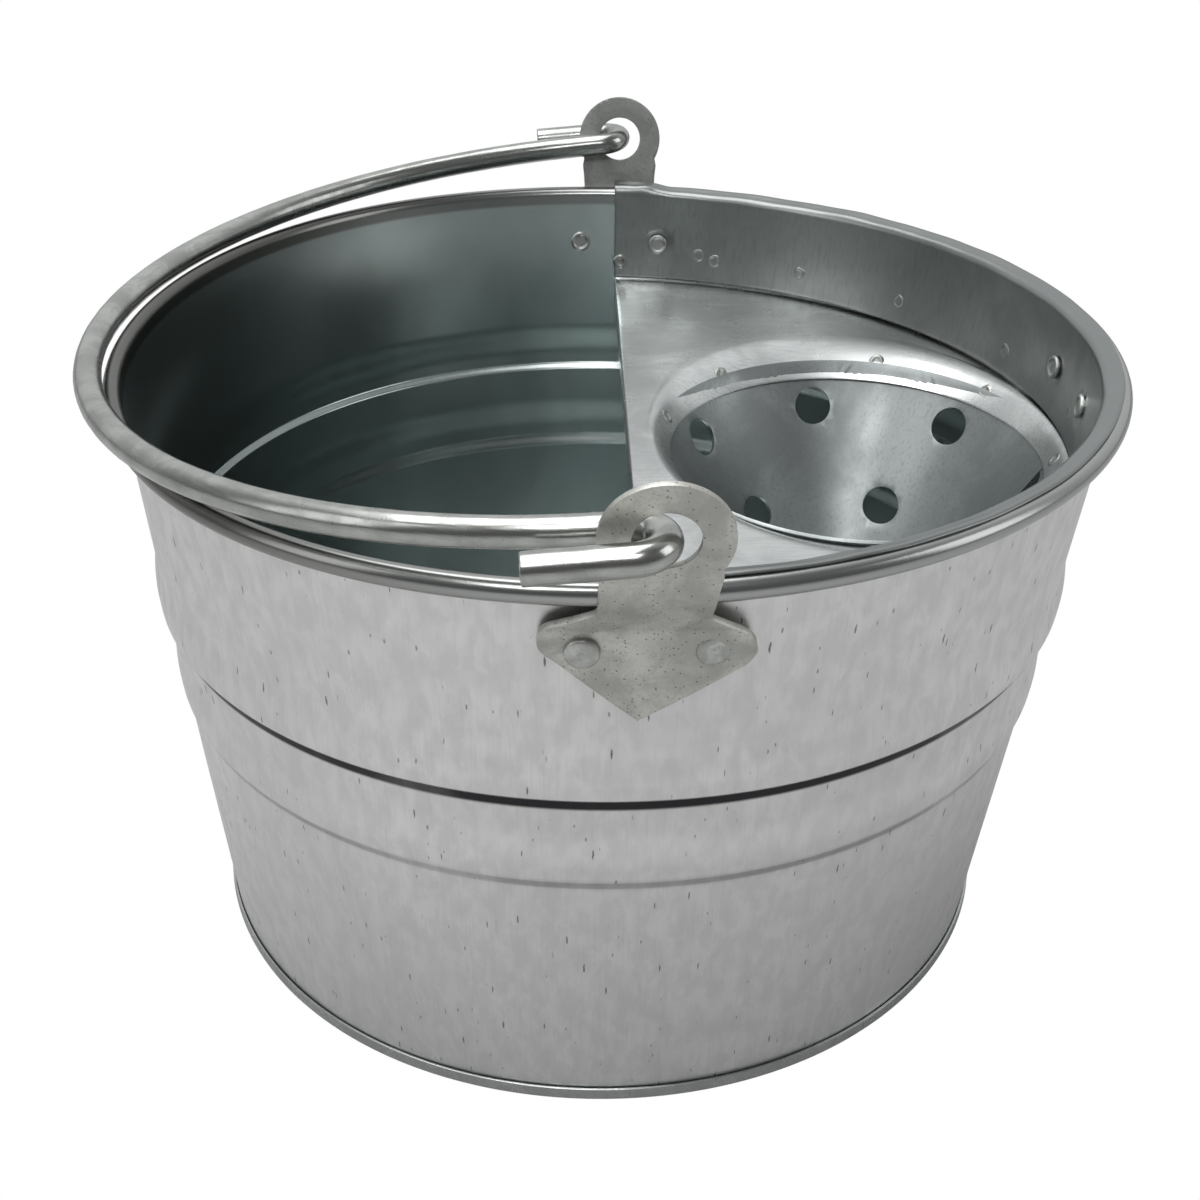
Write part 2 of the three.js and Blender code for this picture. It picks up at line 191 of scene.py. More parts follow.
def grid_mesh(rows, close_rows=False, close_columns=False):
    """A mesh of quads through rows of points, all the same length."""
    bm = bmesh.new()
    made = [[bm.verts.new(p) for p in row] for row in rows]
    last_row = len(made) if close_rows else len(made) - 1
    width = len(made[0])
    last_column = width if close_columns else width - 1
    for i in range(last_row):
        a, b = made[i], made[(i + 1) % len(made)]
        for j in range(last_column):
            k = (j + 1) % width
            bm.faces.new((a[j], a[k], b[k], b[j]))
    return bm, made


def revolve(profile, angles, shift):
    """A closed ring: each profile point is (radius, height), and shift moves a point outward."""
    rows = []
    for angle in angles:
        row = []
        for i, (radius, height) in enumerate(profile):
            r = radius + shift(i, angle, radius, height)
            row.append((r * math.cos(angle), r * math.sin(angle), height))
        rows.append(row)
    bm, _ = grid_mesh(rows, close_rows=True, close_columns=True)
    return bm


def turned_about(profile, segments):
    """A solid turned about Z whose profile starts and ends on the axis."""
    bm = bmesh.new()
    rings = []
    for radius, height in profile:
        if radius < 1e-6:
            rings.append([bm.verts.new((0, 0, height))])
            continue
        ring = []
        for i in range(segments):
            angle = 2 * math.pi * i / segments
            ring.append(bm.verts.new((radius * math.cos(angle), radius * math.sin(angle), height)))
        rings.append(ring)
    for low, high in zip(rings, rings[1:]):
        for i in range(segments):
            k = (i + 1) % segments
            if len(low) == 1:
                bm.faces.new((low[0], high[k], high[i]))
            elif len(high) == 1:
                bm.faces.new((low[i], low[k], high[0]))
            else:
                bm.faces.new((low[i], low[k], high[k], high[i]))
    return bm


def arc(centre, radius, start, end, steps):
    """Points along a circle from one angle in degrees to another."""
    points = []
    for i in range(steps + 1):
        angle = math.radians(mix(start, end, i / steps))
        points.append((centre[0] + radius * math.cos(angle), centre[1] + radius * math.sin(angle)))
    return points


def flat_sheet(outer, holes, u_cuts, v_cuts):
    """A flat sheet with holes, cut into small faces so that it can be bent."""
    bm = bmesh.new()
    for loop in [outer, *holes]:
        made = [bm.verts.new((u, v, 0)) for u, v in loop]
        for a, b in zip(made, made[1:] + made[:1]):
            bm.edges.new((a, b))
    bmesh.ops.triangle_fill(bm, use_beauty=True, use_dissolve=False, edges=bm.edges[:])
    for axis, cuts in ((0, u_cuts), (1, v_cuts)):
        for cut in cuts:
            place = [0.0, 0.0, 0.0]
            normal = [0.0, 0.0, 0.0]
            place[axis] = cut
            normal[axis] = 1.0
            geometry = bm.verts[:] + bm.edges[:] + bm.faces[:]
            bmesh.ops.bisect_plane(bm, geom=geometry, dist=1e-5, plane_co=place, plane_no=normal)
    return bm


def steps(start, end, size):
    """Even steps of about the given size, with both ends."""
    count = max(1, round(abs(end - start) / size))
    return [mix(start, end, i / count) for i in range(count + 1)]


def apply_modifiers(piece):
    bpy.context.view_layer.update()
    graph = bpy.context.evaluated_depsgraph_get()
    mesh = bpy.data.meshes.new_from_object(piece.evaluated_get(graph))
    piece.modifiers.clear()
    old = piece.data
    piece.data = mesh
    bpy.data.meshes.remove(old)
    return piece


def thicken(piece, thickness, offset, edge, sharp):
    """Gives a sheet its thickness and slightly rounded cut edges."""
    solidify = piece.modifiers.new("thickness", "SOLIDIFY")
    solidify.thickness = thickness * MM
    solidify.offset = offset
    bevel = piece.modifiers.new("edges", "BEVEL")
    bevel.width = edge * MM
    bevel.segments = 2
    bevel.limit_method = "ANGLE"
    bevel.angle_limit = math.radians(50)
    apply_modifiers(piece)
    piece.data.set_sharp_from_angle(angle=math.radians(sharp))
    return piece


def finish_piece(piece, body, slot_name, *nodes):
    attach(piece, body)
    if nodes:
        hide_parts(*nodes)
    return piece


# ---------------------------------------------------------------- materials

class Nodes:
    """Short calls for building one material's node tree."""

    def __init__(self, name):
        self.material = bpy.data.materials.new(name)
        self.material.use_nodes = True
        self.tree = self.material.node_tree
        self.shader = self.tree.nodes["Principled BSDF"]

    def put(self, socket, value):
        if isinstance(value, bpy.types.NodeSocket):
            self.tree.links.new(value, socket)
        else:
            socket.default_value = value

    def add(self, kind, **settings):
        node = self.tree.nodes.new(kind)
        for key, value in settings.items():
            setattr(node, key, value)
        return node

    def math(self, operation, a, b=0.0):
        node = self.add("ShaderNodeMath", operation=operation)
        self.put(node.inputs[0], a)
        self.put(node.inputs[1], b)
        return node.outputs[0]

    def ramp(self, value, low, high, to_low=0.0, to_high=1.0):
        node = self.add("ShaderNodeMapRange", interpolation_type="SMOOTHSTEP")
        for name, item in (("Value", value), ("From Min", low), ("From Max", high),
                           ("To Min", to_low), ("To Max", to_high)):
            self.put(node.inputs[name], item)
        return node.outputs["Result"]

    def place(self):
        return self.add("ShaderNodeTexCoord").outputs["Object"]

    def split(self, vector):
        node = self.add("ShaderNodeSeparateXYZ")
        self.put(node.inputs[0], vector)
        return node.outputs

    def join(self, x, y, z):
        node = self.add("ShaderNodeCombineXYZ")
        for socket, value in zip(node.inputs, (x, y, z)):
            self.put(socket, value)
        return node.outputs[0]

    def scaled(self, vector, x, y, z):
        node = self.add("ShaderNodeVectorMath", operation="MULTIPLY")
        self.put(node.inputs[0], vector)
        self.put(node.inputs[1], (x, y, z))
        return node.outputs[0]

    def noise(self, vector, scale, detail=2.0, rough=0.5, distortion=0.0):
        node = self.add("ShaderNodeTexNoise")
        for name, value in (("Vector", vector), ("Scale", scale), ("Detail", detail),
                            ("Roughness", rough), ("Distortion", distortion)):
            self.put(node.inputs[name], value)
        return node.outputs["Fac"]

    def cells(self, vector, scale):
        node = self.add("ShaderNodeTexVoronoi")
        self.put(node.inputs["Vector"], vector)
        self.put(node.inputs["Scale"], scale)
        return node.outputs["Distance"], node.outputs["Color"]

    def colours(self, factor, first, second):
        node = self.add("ShaderNodeMix", data_type="RGBA")
        self.put(node.inputs["Factor"], factor)
        self.put(node.inputs[6], (*first, 1.0) if isinstance(first, tuple) else first)
        self.put(node.inputs[7], (*second, 1.0) if isinstance(second, tuple) else second)
        return node.outputs[2]

    def bump(self, height, strength, distance):
        node = self.add("ShaderNodeBump")
        self.put(node.inputs["Height"], height)
        self.put(node.inputs["Strength"], strength)
        self.put(node.inputs["Distance"], distance)
        return node.outputs[0]

    def tint(self, base, factor, strength, tone):
        """Lays a tone over the base, by a factor that reaches at most the strength."""
        return self.colours(self.math("MULTIPLY", factor, strength), base, tone)

    def metal(self, colour, roughness, normal):
        self.put(self.shader.inputs["Metallic"], 1.0)
        self.put(self.shader.inputs["Base Color"], colour)
        self.put(self.shader.inputs["Roughness"], roughness)
        self.put(self.shader.inputs["Normal"], normal)
        return self.material

    def around(self, start):
        """Sheet coordinates of a round wall in metres: along the girth from an angle, and height."""
        x, y, z = self.split(self.place())
        c, s = math.cos(start), math.sin(start)
        along = self.math("ADD", self.math("MULTIPLY", x, -c), self.math("MULTIPLY", y, -s))
        across = self.math("ADD", self.math("MULTIPLY", x, s), self.math("MULTIPLY", y, -c))
        angle = self.math("ARCTAN2", across, along)
        return self.math("MULTIPLY", angle, GIRTH_RADIUS * MM), z


INNER_TONE = (0.64, 0.71, 0.70)         # the wall's inside, greener as a painted reflection tint
INNER_SHEEN = 0.25                      # its roughness, and the bead's
SWAGE_SHADE_TONE = (0.035, 0.035, 0.038)  # painted shade on the step under a swage
MARK_TONE = (0.13, 0.13, 0.13)
SPOT_TONE = (0.12, 0.12, 0.11)
BEAD_SHADE_TONES = ((0.15, 0.15, 0.14), (0.40, 0.41, 0.40))   # painted shade on the bead: at the open side, at the wringer's side
BEAD_STARTS = (0.1738, 0.1752)          # heights between which the wall turns into the bead


def shade(tone, factor):
    return tuple(min(1.0, c * factor) for c in tone)


def specks(nodes, u, v, width, length, spacing, seed, share):
    """Small dark drag marks: long thin spots, one in some of the cells."""
    wobble = nodes.noise(nodes.join(u, v, seed), 900.0, 2.0)
    u2 = nodes.math("ADD", nodes.math("DIVIDE", u, width), nodes.math("MULTIPLY", wobble, 1.6))
    v2 = nodes.math("ADD", nodes.math("DIVIDE", v, length), nodes.math("MULTIPLY", wobble, 0.9))
    distance, colour = nodes.cells(nodes.join(u2, v2, seed), 1.0 / spacing)
    pick = nodes.split(colour)
    size = nodes.math("MULTIPLY", pick[0], 0.9 / spacing)
    spot = nodes.ramp(nodes.math("SUBTRACT", distance, size), 0.0, 0.5 / spacing, 1.0, 0.0)
    chosen = nodes.ramp(pick[1], share, share + 0.02, 1.0, 0.0)
    return nodes.math("MULTIPLY", spot, chosen)


def galvanised_material(name, tone, roughness, speck_strength, swage_shade_lines=()):
    """Galvanised sheet: cloudy with drag marks outside, smoother inside; greener inside as a painted
    reflection tint, with painted shade inside towards -X, painted shade lines under the swages where given,
    and a painted-shade bead.
    """
    n = Nodes(name)
    u, v = n.around(SEAM_ANGLE)
    sheet = n.join(u, v, 0.0)
    cloud = n.noise(n.scaled(sheet, 1.0, 0.5, 1.0), 190.0, 5.0, 0.6, 0.3)
    blotch = n.noise(n.scaled(sheet, 1.0, 0.45, 1.0), 38.0, 4.0, 0.55, 0.5)
    wide = n.noise(n.scaled(sheet, 1.0, 0.7, 1.0), 11.0, 2.0, 0.5)
    brush = n.noise(n.scaled(sheet, 1.0, 0.035, 1.0), 1500.0, 2.0)
    grain = n.noise(sheet, 2600.0, 2.0)
    long_marks = specks(n, u, v, 0.00026, 0.0015, 8.5, 2.3, 0.6)
    short_marks = specks(n, u, v, 0.00026, 0.0007, 10.0, 7.9, 0.45)
    marks = n.math("MAXIMUM", long_marks, n.math("MULTIPLY", short_marks, 0.7))
    x, y, z = n.split(n.place())
    facing = n.add("ShaderNodeVectorMath", operation="DOT_PRODUCT")
    n.put(facing.inputs[0], n.join(x, y, 0.0))
    n.put(facing.inputs[1], n.add("ShaderNodeTexCoord").outputs["Normal"])
    inside = n.ramp(facing.outputs["Value"], -0.01, 0.01, 1.0, 0.0)
    outside = n.math("SUBTRACT", 1.0, inside)
    marks = n.math("MULTIPLY", marks, n.math("MULTIPLY", outside, speck_strength))
    colour = n.colours(n.ramp(cloud, 0.36, 0.66), shade(tone, 0.93), shade(tone, 1.05))
    colour = n.tint(colour, n.ramp(blotch, 0.40, 0.72), 0.25, shade(tone, 0.84))
    colour = n.tint(colour, n.ramp(wide, 0.45, 0.62), 0.3, shade(tone, 0.86))
    colour = n.tint(colour, n.ramp(brush, 0.5, 0.72), 0.35, shade(tone, 0.84))
    # Painted shade: a patchy dark band on the outside under each swage's step.
    for low, high, strength, reach in swage_shade_lines:
        above = n.ramp(z, low - 0.0006, low + 0.0005)
        below = n.ramp(z, high - 0.0004, high + 0.0003, 1.0, 0.0)
        band = n.math("MULTIPLY", above, below)
        patchy = n.ramp(n.math("ADD", wide, n.math("MULTIPLY", blotch, 0.4)), 0.5, 0.72, reach, 1.0)
        band = n.math("MULTIPLY", n.math("MULTIPLY", band, patchy), n.math("MULTIPLY", outside, strength))
        colour = n.colours(band, colour, SWAGE_SHADE_TONE)
    colour = n.colours(marks, colour, MARK_TONE)
    inner = n.colours(n.ramp(blotch, 0.4, 0.7), INNER_TONE, shade(INNER_TONE, 0.88))
    inner = n.tint(inner, n.ramp(brush, 0.5, 0.75), 0.25, shade(INNER_TONE, 0.75))
    # Painted shade: the inside gets darker towards -X, the open side.
    inner = n.colours(n.ramp(x, -0.15, -0.03, 0.72, 0.0), inner, shade(INNER_TONE, 0.3))
    colour = n.colours(inside, colour, inner)
    # Painted shade: the rolled bead is darker than the wall, inside and out, darkest towards -X.
    rolled = n.ramp(z, *BEAD_STARTS)
    colour = n.colours(rolled, colour, n.colours(n.ramp(x, -0.13, 0.0), *BEAD_SHADE_TONES))
    rough = n.ramp(cloud, 0.3, 0.7, roughness + 0.05, roughness - 0.03)
    rough = n.math("ADD", rough, n.math("MULTIPLY", marks, 0.2))
    smooth_side = n.math("MAXIMUM", inside, rolled)
    rough = n.math("MULTIPLY", rough, n.math("SUBTRACT", 1.0, smooth_side))
    rough = n.math("ADD", rough, n.math("MULTIPLY", smooth_side, INNER_SHEEN))
    height = n.math("ADD", n.math("MULTIPLY", brush, 0.5), n.math("MULTIPLY", grain, 0.5))
    height = n.math("SUBTRACT", height, n.math("MULTIPLY", marks, 0.8))
    height = n.math("MULTIPLY", height, n.ramp(smooth_side, 0.0, 1.0, 1.0, 0.45))
    return n.metal(colour, rough, n.bump(height, 0.2, 0.0001))


def plain_metal(name, tone, roughness, cloud_size, streak, speckle=0.0, bump=0.12, dark_from=None):
    """Sheet or wire whose marks run in a direction given by streak, and whose top may be darker."""
    n = Nodes(name)
    place = n.place()
    cloud = n.noise(place, 1.0 / cloud_size, 4.0, 0.55, 0.5)
    lines = n.noise(n.scaled(place, *streak), 1400.0, 2.0)
    spots, colour_of_spot = n.cells(place, 1100.0)
    spot = n.ramp(spots, 0.10, 0.32, 1.0, 0.0)
    chosen = n.ramp(n.split(colour_of_spot)[0], 0.25, 0.3, 1.0, 0.0)
    spot = n.math("MULTIPLY", n.math("MULTIPLY", spot, chosen), speckle)
    colour = n.colours(n.ramp(cloud, 0.35, 0.68), shade(tone, 0.82), shade(tone, 1.14))
    colour = n.tint(colour, n.ramp(lines, 0.48, 0.7), 0.45, shade(tone, 0.72))
    colour = n.colours(spot, colour, SPOT_TONE)
    if dark_from:
        top = n.ramp(n.split(place)[2], dark_from, dark_from + 0.0022)
        colour = n.colours(top, colour, shade(tone, 0.66))
    rough = n.ramp(cloud, 0.3, 0.7, roughness + 0.06, roughness - 0.04)
    height = n.math("SUBTRACT", lines, n.math("MULTIPLY", spot, 0.8))
    return n.metal(colour, rough, n.bump(height, bump, 0.0001))


# Painted shade lines under the swages, each: its bottom and top in metres, its strength, and the least of it
# where it is patchy.
SWAGE_SHADE_LINES = ((0.1105, 0.1149, 1.0, 0.85), (0.0835, 0.0862, 0.35, 0.0))
wall_material = galvanised_material("galvanised_wall", (0.73, 0.735, 0.725), 0.34, 0.8, SWAGE_SHADE_LINES)
base_material = galvanised_material("galvanised_base", (0.46, 0.47, 0.465), 0.28, 0.35)
rim_wire_material = plain_metal("rim_wire_steel", (0.45, 0.46, 0.46), 0.4, 0.02, (1, 1, 1))
lug_material = plain_metal("lug_steel", (0.57, 0.57, 0.535), 0.5, 0.012, (1, 1, 1), 0.9, 0.4)
# Painted shade: a darker copy of the lug steel for the back lug.
lug_back_shaded_material = plain_metal("lug_steel_back_shaded", (0.42, 0.43, 0.41), 0.5, 0.012, (1, 1, 1), 0.6, 0.35)
rivet_material = plain_metal("rivet_steel", (0.5, 0.51, 0.49), 0.42, 0.005, (1, 1, 1), 0.5, 0.3)
collar_material = plain_metal("collar_steel", (0.40, 0.42, 0.415), 0.33, 0.03, (1, 1, 0.05), 0.05,
                              dark_from=0.1775)
plate_material = plain_metal("plate_steel", (0.62, 0.64, 0.635), 0.27, 0.022, (0.04, 1, 1), 0.05)
cone_material = plain_metal("cone_steel", (0.34, 0.365, 0.365), 0.42, 0.03, (1, 1, 0.04), 0.04)
wire_material = plain_metal("zinc_wire", (0.44, 0.45, 0.43), 0.23, 0.012, (0.05, 0.12, 1), 0.3, 0.3)
weld_material = plain_metal("weld_marks", (0.42, 0.43, 0.41), 0.35, 0.002, (1, 1, 1), 0.5, 0.5)


# ---------------------------------------------------------------- bucket

def even_angles(count, extra=()):
    angles = [2 * math.pi * i / count for i in range(count)]
    return sorted(set(angles) | {a % (2 * math.pi) for a in extra})


def seam_height(angle):
    """Profile of the folded lock seam across the girth, from 0 to 1."""
    off = (angle - SEAM_ANGLE + math.pi) % (2 * math.pi) - math.pi
    across = abs(off) * SEAM_RADIUS
    return 1.0 - smooth((across - 3.2) / 0.5)


def bucket_wall():
    near_foot = [WALL_BOTTOM, 2.0, 4.0, 6.0]
    fine = []
    for height, _, drop, rise in SWAGES:
        fine += steps(height - drop - 1.0, height + 1.0, 0.25) + steps(height + 1.0, height + rise, 1.0)
    plain = []
    for z in steps(10, 172, 6):
        if not any(height - drop - 1 < z < height + rise for height, _, drop, rise in SWAGES):
            plain.append(z)
    heights = sorted({round(z, 3) for z in near_foot + fine + plain})
    outer = [(wall_line(z) + swage(z), z) for z in heights]
    inner = [(r - SHEET, z) for r, z in outer]
    curl_end = 235
    outer_curl = arc(BEAD_CENTRE, BEAD, 180, curl_end - 360, 28)
    inner_curl = arc(BEAD_CENTRE, BEAD - BEAD_SHEET, curl_end - 360, 180, 22)
    profile = inner + outer_curl + inner_curl + outer[::-1]
    first_outer = len(profile) - len(outer)

    def shift(i, angle, radius, height):
        x, y = math.cos(angle) * GIRTH_RADIUS, math.sin(angle) * GIRTH_RADIUS
        ease = smooth((RIM_TOP - 8 - height) / 15) * smooth((height - 6) / 12)
        wave = 0.16 * wander(3, x, y, height * 0.6, 60) * ease
        if i >= first_outer and 7 < height < 170:
            wave += 0.9 * seam_height(angle)
        elif i < len(inner) and 7 < height < 170:
            wave -= 0.35 * seam_height(angle)
        return wave

    one_side = (2.5, 3.2, 3.45, 3.7, 3.9, 4.4, 6)
    across_seam = [-mm for mm in one_side[::-1]] + [0] + list(one_side)
    near_seam = [SEAM_ANGLE + mm / SEAM_RADIUS for mm in across_seam]
    bm = squeezed(revolve(profile, even_angles(288, near_seam), shift))
    return make_object("galvanised_wall_shell", bm, wall_material, 40)


def bucket_base():
    hem_top = base_high.z
    outside = base_high.x
    underside = mounts["base_underside"].z
    fold_inside = wall_line(WALL_BOTTOM) - SHEET - GAP
    hem_inside = wall_line(hem_top) + GAP
    floor_of_hem = WALL_BOTTOM - GAP
    profile = [(0, underside + SHEET), (60, underside + SHEET), (fold_inside - 3.5, underside + SHEET)]
    profile += [(fold_inside - 0.9, underside + SHEET + 0.1), (fold_inside, underside + SHEET - 0.4)]
    profile += [(fold_inside, floor_of_hem + 0.3), (fold_inside + 0.3, floor_of_hem)]
    profile += [(hem_inside - 0.3, floor_of_hem), (hem_inside, floor_of_hem + 0.3)]
    profile += [(hem_inside - 0.05, hem_top - 0.15), (hem_inside + 0.12, hem_top)]
    profile += [(hem_inside + 0.5, hem_top), (hem_inside + SHEET - 0.1, hem_top - 0.15)]
    profile += arc((outside - 1.1, 1.1), 1.1, 10, -90, 8)
    profile += [(fold_inside - SHEET + 0.5, 0.0), (fold_inside - SHEET, 0.35)]
    profile += [(fold_inside - SHEET, underside - 0.5), (fold_inside - SHEET - 0.5, underside)]
    profile += [(60, underside), (0, underside)]
    bm = squeezed(turned_about(profile, 288))
    return make_object("base_with_foot_hem", bm, base_material, 40)


# ---------------------------------------------------------------- lugs and rivets

LUG_LOBE = (17.8, 1.6, 7.0)
NECK = 12.9


def lug_path():
    """Points (radius, height) of the lug's inner face for each v, as it bends over the rim."""
    lower = math.atan((WALL_TOP - WALL_FOOT) / (BEAD_CENTRE[1] - WALL_BOTTOM))
    target = LUG_MID - LUG_PLATE / 2
    slant = math.radians(29)
    size = 0.25
    for _ in range(6):
        path = {0.0: (wall_line(LUG_RIVET_HEIGHT) + GAP + 0.1, LUG_RIVET_HEIGHT)}
        r, z = path[0.0]
        v = 0.0
        while z < hinge.z + 18:
            lean = mix(lower, slant, smooth((v - 3.8) / 4.2))
            lean = mix(lean, LUG_LEAN, smooth((v - 16.5) / 5.0))
            r += size * math.sin(lean)
            z += size * math.cos(lean)
            v = round(v + size, 3)
            path[v] = (r, z)
        eye = min(path, key=lambda key: abs(path[key][1] - hinge.z))
        slant += (target - path[eye][0]) / 14.0
    r, z = path[0.0]
    v = 0.0
    while v > -24:
        r -= size * math.sin(lower)
        z -= size * math.cos(lower)
        v = round(v - size, 3)
        path[v] = (r, z)
    return path, eye, size


def lug_outline(eye):
    lobe_x, lobe_y, lobe_r = LUG_LOBE
    right = arc((0, -18.2), 1.8, -90, -62, 3)
    right += arc((lobe_x, lobe_y), lobe_r, -62, 50, 16)
    right += [(18.5, 9.3), (15.8, 11.2), (13.9, 12.5), (12.9, 13.4), (NECK - 0.35, 14.4), (NECK - 0.3, 16.0)]
    right += [(NECK - 0.1, 20), (NECK + 0.1, 24), (NECK + 0.5, 27.5)]
    ring_start = math.degrees(math.asin(-7.0 / EYE_OUTER))
    right += arc((0, eye), EYE_OUTER, ring_start, 88, 26)
    left = [(-u, v) for u, v in reversed(right)]
    return right + left


def lug(side):
    path, eye, size = lug_path()
    tilt = FRONT_TILT if side < 0 else 0.0
    base_x = hinge.x - (math.tan(FRONT_TILT) * (hinge.z - LUG_RIVET_HEIGHT) if side < 0 else 0.0)
    outline = lug_outline(eye)
    holes = [arc((0, eye), EYE_HOLE, 0, 352.5, 47)]
    bm = flat_sheet(outline, holes, steps(-24, 24, 2.0), steps(-20, eye + 14, 1.0))
    c, s = math.cos(tilt), math.sin(tilt)
    for vert in bm.verts:
        u = vert.co.x * c + vert.co.y * s
        v = vert.co.y * c - vert.co.x * s
        low = math.floor(v / size) * size
        a, b = path[round(low, 3)], path[round(low + size, 3)]
        t = (v - low) / size
        radius, height = mix(a[0], b[0], t), mix(a[1], b[1], t)
        hug = 1 - smooth((v + 4) / 10)
        radius -= hug * (radius - math.sqrt(max(radius ** 2 - u * u, 0.0)))
        x = base_x + (u if side < 0 else -u)
        vert.co = (x, side * radius, height)
    if side > 0:
        bmesh.ops.reverse_faces(bm, faces=bm.faces)
    name = "lug_plate_front" if side < 0 else "lug_plate_back"
    piece = make_object(name, bm, lug_material if side < 0 else lug_back_shaded_material, 40)
    outward = piece.data.polygons[0].normal.y * side > 0
    return thicken(piece, LUG_PLATE - LUG_THINNER, 1.0 if outward else -1.0, 0.22, 40)


def wall_place(angle, height):
    """Puts a piece made along Z square to the wall, at an angle and height."""
    slope = math.atan((WALL_TOP - WALL_FOOT) / (BEAD_CENTRE[1] - WALL_BOTTOM))
    turn = Matrix.Rotation(angle, 4, "Z") @ Matrix.Translation((wall_line(height), 0, height))
    return turn @ Matrix.Rotation(math.pi / 2 + slope, 4, "Y")


def rivet(name, node, angle, height, inner, outer):
    """One rivet turned about its own axis: a low flat-topped head, a shank and an upset tail with a ring."""
    tail = -(inner - GAP)
    head = outer + 0.05
    profile = [(0, -head - 1.55), (0.7, -head - 1.5), (0.9, -head - 1.62), (2.6, -head - 1.58)]
    profile += [(3.4, -head - 1.45)] + arc((3.35, -head - 0.7), 0.78, -70, 0, 5)[1:]
    profile = [(r, -z) for r, z in profile]
    profile += [(4.15, head), (2.4, head), (2.4, -tail)]
    profile += [(3.5, -tail), (3.55, -tail - 0.5), (3.3, -tail - 0.95), (2.9, -tail - 1.1)]
    profile += [(2.5, -tail - 0.95), (2.2, -tail - 0.6), (1.6, -tail - 0.55), (0, -tail - 0.7)]
    bm = turned_about(profile[::-1], 40)
    bmesh.ops.transform(bm, matrix=wall_place(angle, height), verts=bm.verts)
    piece = make_object(name, bm, rivet_material, 50)
    return finish_piece(piece, "bucket", "lug_steel", node)


def rivets():
    nodes = [n for n in frame["nodes"] if n.startswith("rivet_")]
    for node in nodes:
        low, high = corners(node)
        middle = (low + high) / 2
        angle = math.atan2(middle.y, middle.x)
        lug_rivet = node.startswith("rivet_lug")
        height = LUG_RIVET_HEIGHT if lug_rivet else middle.z
        outer = GAP + LUG_PLATE - 0.3 if lug_rivet else 0.1
        through_collar = "wringer_side" in node or not lug_rivet
        inner = -SHEET - (COLLAR_STAND_OFF + WRINGER_SHEET if through_collar else 0.0) + 0.2
        rivet(node.replace("rivet", "round_rivet"), node, angle, height, inner, outer)


# ---------------------------------------------------------------- wringer

def collar_face(z):
    """Radius of the collar's inner face at a height."""
    return wall_line(z) - SHEET - COLLAR_STAND_OFF - WRINGER_SHEET


def wringer_rivet_places():
    places = []
    for node in frame["nodes"]:
        if node.startswith("rivet_collar") or node.endswith("wringer_side"):
            low, high = corners(node)
            middle = (low + high) / 2
            places.append((math.atan2(middle.y, middle.x), middle.z))
    return places


def wringer_collar():
    shoulder = RIM_TOP - 2.4
    face = collar_face(shoulder)
    profile = [(collar_face(z), z) for z in steps(COLLAR_BOTTOM, shoulder, 1.2)]
    profile += arc((face + 2.6, shoulder), 2.6, 180, 95, 8)[1:]
    top = profile[-1]
    profile += [(mix(top[0], 146.4, t), mix(top[1], RIM_TOP + 1.0, smooth(t))) for t in (0.33, 0.66, 1.0)]
    profile += [(147.0, RIM_TOP + 0.85), (147.45, RIM_TOP + 0.5)]
    places = wringer_rivet_places()
    count = 420
    rows = []
    for i in range(count + 1):
        share = 2 * i / count - 1
        row = []
        for radius, height in profile:
            limit = math.acos(EDGE_X / radius)
            angle = limit * share
            arc_mm = radius * angle
            lip = smooth((height - shoulder) / 2.5)
            from_end = (limit - abs(angle)) * radius
            r = radius + 0.18 * wander(11, arc_mm, height, 0, 26) * (1 + lip)
            ear = smooth((22 - from_end) / 12) * smooth(share * 4)
            crumple = 0.5 * wander(19, arc_mm, height, 0, 5)
            z = height + lip * (0.3 * wander(17, arc_mm, 0, 0, 16) + ear * (1.7 + crumple))
            for rivet_angle, rivet_height in places:
                away = math.hypot((angle - rivet_angle) * radius, height - rivet_height)
                r += 0.45 * (1 - smooth((away - 4.6) / 1.8)) * (1 - lip)
            row.append((r * math.cos(angle), r * math.sin(angle), z))
        rows.append(row)
    bm, _ = grid_mesh(rows)
    piece = make_object("collar_strip", bm, collar_material, 60)
    inward = piece.data.polygons[0].normal.xy.dot(piece.data.polygons[0].center.xy) < 0
    return thicken(piece, WRINGER_SHEET, -1.0 if inward else 1.0, 0.15, 40)


def mouth_stretch(radius):
    share = (radius - THROAT) / (MOUTH_HALF[0] - THROAT)
    return mix(THROAT_STRETCH, MOUTH_HALF[1] / MOUTH_HALF[0], max(0.0, share))


def mouth_point(radius, angle):
    """A point on the oval of that half width round the mouth's middle."""
    return MOUTH_X + radius * math.cos(angle), radius * mouth_stretch(radius) * math.sin(angle)


